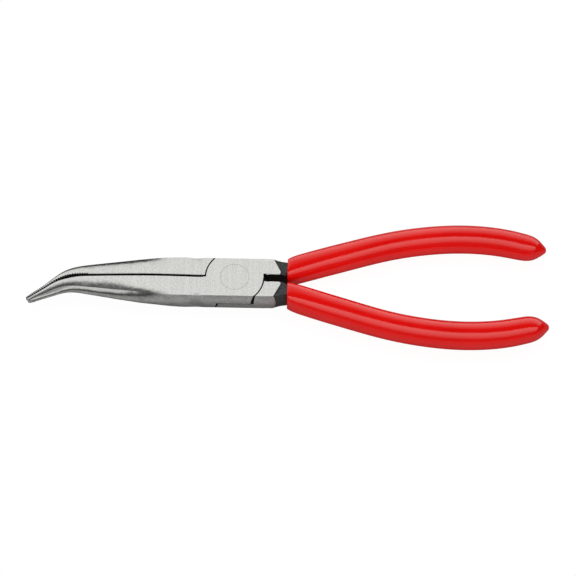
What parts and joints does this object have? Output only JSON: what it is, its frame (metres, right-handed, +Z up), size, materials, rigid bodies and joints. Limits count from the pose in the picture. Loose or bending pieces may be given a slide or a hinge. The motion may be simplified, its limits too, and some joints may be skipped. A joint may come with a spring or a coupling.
{
  "type": "bent needle nose pliers",
  "caption": "Long nose pliers with a bent, toothed tip, a half-lapped riveted joint and curved handles in glossy red dipped sleeves, for gripping in tight places.",
  "frame": {"origin": "on the rivet's axis, at the lower ground face of the head", "axes": "+X along the tool towards the handles, +Y towards the back handle and the back jaw, +Z up along the rivet"},
  "size_m": [0.1993, 0.0522, 0.0114],
  "materials": {
    "steel": "cross-ground on the head and jaws, black oxide on the shanks",
    "rivet_steel": "ground flush with the head",
    "grip_red": "glossy dipped PVC"
  },
  "bodies": {
    "back_half": {"back_jaw_half": "steel", "front_grip": "grip_red"},
    "front_half": {"front_jaw_half": "steel", "pivot_rivet": "rivet_steel", "back_grip": "grip_red"}
  },
  "joints": [
    {"name": "pivot", "type": "hinge", "parent": "back_half", "child": "front_half", "pos_m": [0, 0, 0], "axis": [0, 0, 1], "range_deg": [0, 45]}
  ]
}
